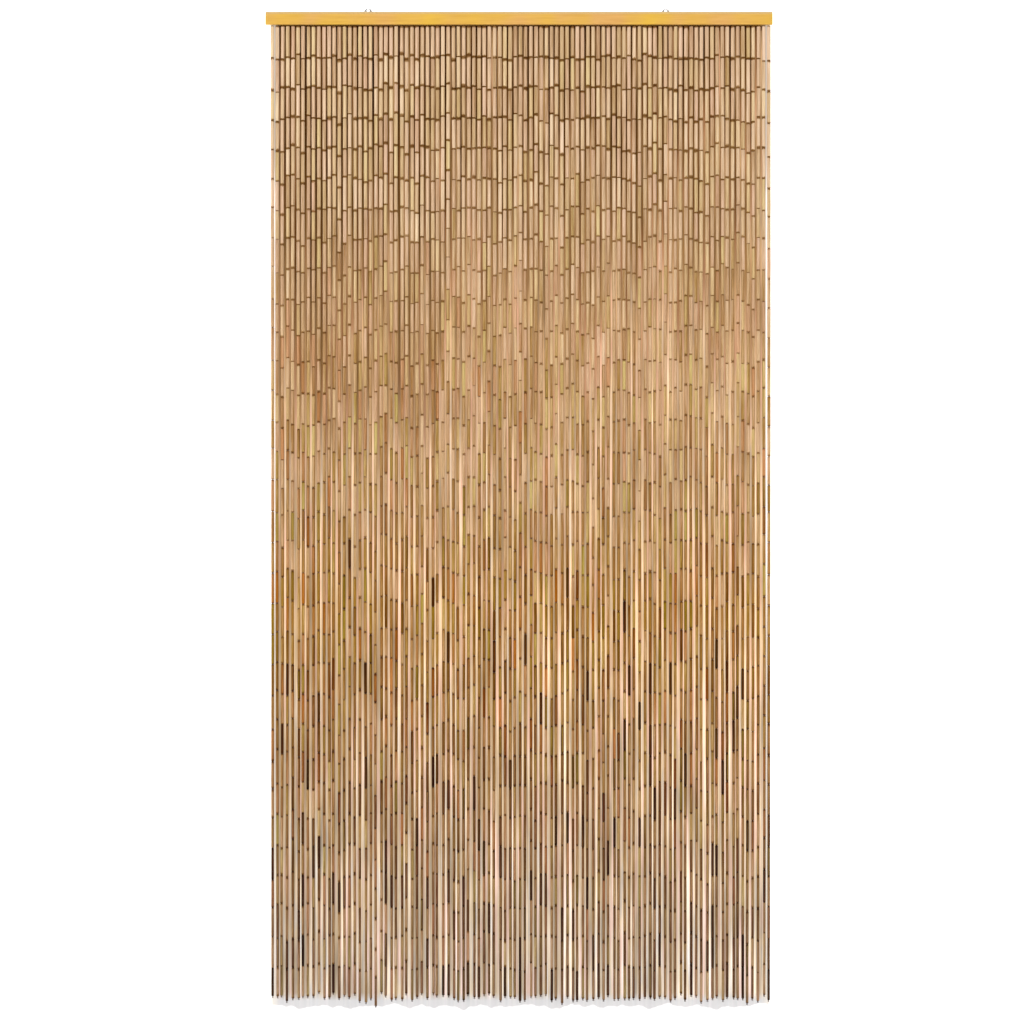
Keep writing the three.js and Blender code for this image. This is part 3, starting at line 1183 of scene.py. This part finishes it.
def shade_colour(tree, x, z, down):
    """The ramp's colour with its stripes, bands and drifts, a painted shadow below and painted light
    aside.
    """
    stripes = noise(tree, scaled_place(tree, (1, 1, STRIPE_SQUEEZE)), STRIPE_FINENESS, 2.0)
    swing = swing_of(tree, stripes, -1.0, 1.0)
    colour = ramp(tree, shade_level(tree, x, z, down, swing), SHADE)
    drifts = noise(tree, scaled_place(tree, (1, 1, 0.5)), 12.0, 3.0, 0.6)
    colour = tinted(tree, colour, swing_of(tree, drifts, 1 - DRIFT_GAIN, 1 + DRIFT_GAIN))
    contrast = times(tree, swing, stretch(tree, down, 0.25, 0.45, 0.25, 0.48))
    rightward = stretch(tree, x, *ROW_SIDES, -RIGHTWARD_GAIN, RIGHTWARD_GAIN)
    colour = tinted(tree, colour, math_node(tree, "EXPONENT", plus(tree, contrast, rightward)))
    colour = tinted(tree, colour, ramp(tree, stripes, STRIPE_CASTS))
    bands = noise(tree, scaled_place(tree, (1, 1, BAND_SQUEEZE)), BAND_FINENESS, 1.0)
    colour = tinted(tree, colour, ramp(tree, bands, BAND_CASTS))
    below = stretch(tree, z, *HEM_SHADOW_BORDER, 0.0, 0.9)
    colour = mix_colour(tree, "MIX", below, colour, HEM_SHADOW)
    side = stretch(tree, from_row_middle(tree, x), *PALE_ASIDE, 0.0, 0.8)
    return mix_colour(tree, "MIX", side, colour, SIDE_GLOW)


def studio_paper():
    material, tree, shader = pale_finish("studio_paper", WHITE)
    x, _, z = place_parts(tree)
    down = stretch(tree, z, 0.0, STRAND_END * MM, 0.0, 1.0)
    shaded = patch_share(tree, x, z, down)
    colour = shade_colour(tree, x, z, down)
    lit = tinted(tree, colour, (LIT_SHARE, LIT_SHARE, LIT_SHARE))
    plug(tree, mix_colour(tree, "MIX", shaded, WHITE, lit), shader.inputs["Base Color"])
    glow = mix_colour(tree, "MIX", shaded, (1.0, 1.0, 1.0), colour)
    plug(tree, glow, shader.inputs["Emission Color"])
    shader.inputs["Emission Strength"].default_value = 1.0
    clear = add_node(tree, "ShaderNodeBsdfTransparent")
    either = add_node(tree, "ShaderNodeMixShader")
    plug(tree, add_node(tree, "ShaderNodeNewGeometry").outputs["Backfacing"], either.inputs[0])
    plug(tree, shader.outputs[0], either.inputs[1])
    plug(tree, clear.outputs[0], either.inputs[2])
    plug(tree, either.outputs[0], tree.nodes["Material Output"].inputs["Surface"])
    return material


paper_finish = studio_paper()
print("nodes in the paper's material:", len(paper_finish.node_tree.nodes))

# %% [markdown]
# ## Wall and floor
#
# The stage is two flat sheets: the paper on the wall, wide enough to fill any view from the front,
# and a pale floor seven centimetres below the strands. Neither belongs to the curtain. The paper
# casts no shadow, or it would keep the lamps behind it from lighting the curtain's back.

# %% Wall and floor
WALL_GAP = 2.0
FLOOR_Z = -2020


def stage_sheet(name, corners_mm, material):
    mesh = bpy.data.meshes.new(name)
    corners = [tuple(value * MM for value in corner) for corner in corners_mm]
    mesh.from_pydata(corners, [], [(0, 1, 2, 3)])
    mesh.materials.append(material)
    sheet = bpy.data.objects.new(name, mesh)
    bpy.context.scene.collection.objects.link(sheet)
    return sheet


wall = stage_sheet("wall", [
    (-4000, WALL_GAP, FLOOR_Z),
    (4000, WALL_GAP, FLOOR_Z),
    (4000, WALL_GAP, 1500),
    (-4000, WALL_GAP, 1500),
], paper_finish)
wall.visible_shadow = False
floor = stage_sheet("floor", [
    (-15000, -15000, FLOOR_Z),
    (15000, -15000, FLOOR_Z),
    (15000, 15000, FLOOR_Z),
    (-15000, 15000, FLOOR_Z),
], pale_finish("floor_pale", (0.82, 0.81, 0.79))[0])
print("stage:", wall.name, "and", floor.name)

# %% [markdown]
# ## Soft boxes
#
# Two large soft boxes stand to the left and right of the camera, at more than forty-five degrees.
# From there the light can't shine straight through the gaps at the top, where the tubes stand
# closest, and it rounds every tube with a bright side and a dark one. The left one is the
# stronger. It stands further off, so that the curtain's right half gets nearly as much of it as
# the left half. A long box above brightens the rail.
#
# Three weaker boxes stand behind. The view from the front doesn't need them, but anyone who walks
# round the curtain does. A sky of even white fills the rest.

# %% Soft boxes and sky
MIDDLE_HEIGHT = -0.974
# Name, azimuth and tilt in degrees, distance, height and size in metres, and watts
SOFT_BOXES = [
    ("left_soft_box", -50, 90, 5.0, MIDDLE_HEIGHT, (1.9, 3.2), 124),
    ("right_soft_box", 50, 90, 3.2, MIDDLE_HEIGHT, (1.2, 2.6), 30),
    ("back_soft_box", 180, 90, 3.0, MIDDLE_HEIGHT, (2.0, 2.0), 20),
    ("back_left_box", -130, 90, 3.2, MIDDLE_HEIGHT, (1.2, 2.6), 22),
    ("back_right_box", 130, 90, 3.2, MIDDLE_HEIGHT, (1.2, 2.6), 22),
    ("top_soft_box", 0, 35, 1.6, 1.6, (2.4, 0.8), 20),
]
SKY_STRENGTH = 0.5


def soft_box(name, azimuth, tilt, distance, height, size, watts):
    """An area light that faces the curtain. Azimuth 0 is the camera's side, tilt 90 is level."""
    light = bpy.data.lights.new(name, "AREA")
    light.shape = "RECTANGLE"
    light.size, light.size_y = size
    light.energy = watts
    lamp = bpy.data.objects.new(name, light)
    angle = math.radians(azimuth)
    lamp.location = (distance * math.sin(angle), -distance * math.cos(angle), height)
    lamp.rotation_euler = (math.radians(tilt), 0, angle)
    bpy.context.scene.collection.objects.link(lamp)


for row in SOFT_BOXES:
    soft_box(*row)

sky = bpy.data.worlds.new("even_sky")
sky.use_nodes = True
sky.node_tree.nodes["Background"].inputs["Color"].default_value = (1, 1, 1, 1)
sky.node_tree.nodes["Background"].inputs["Strength"].default_value = SKY_STRENGTH
bpy.context.scene.world = sky
print("watts in all:", sum(lamp.energy for lamp in bpy.data.lights))

# %% [markdown]
# ## Camera
#
# The camera is level, in front of the curtain's middle, with a long lens, so that the strands at
# the edges are seen almost square on. Its distance follows from the width that the picture has to
# take in. The colours go to the picture as they are, without a film look.

# %% Camera
LENS = 85
SENSOR = 36
VIEW_WIDTH = 2.021
VIEW_X = -0.0138

camera_data = bpy.data.cameras.new("camera")
camera_data.lens = LENS
camera_data.sensor_width = SENSOR
camera = bpy.data.objects.new("camera", camera_data)
view_distance = VIEW_WIDTH * LENS / SENSOR
camera.location = (VIEW_X, -SET_BACK * MM - view_distance, MIDDLE_HEIGHT)
camera.rotation_euler = (math.radians(90), 0, 0)
bpy.context.scene.collection.objects.link(camera)
bpy.context.scene.camera = camera
bpy.context.scene.view_settings.view_transform = "Standard"
print("camera distance in m:", round(view_distance, 2))
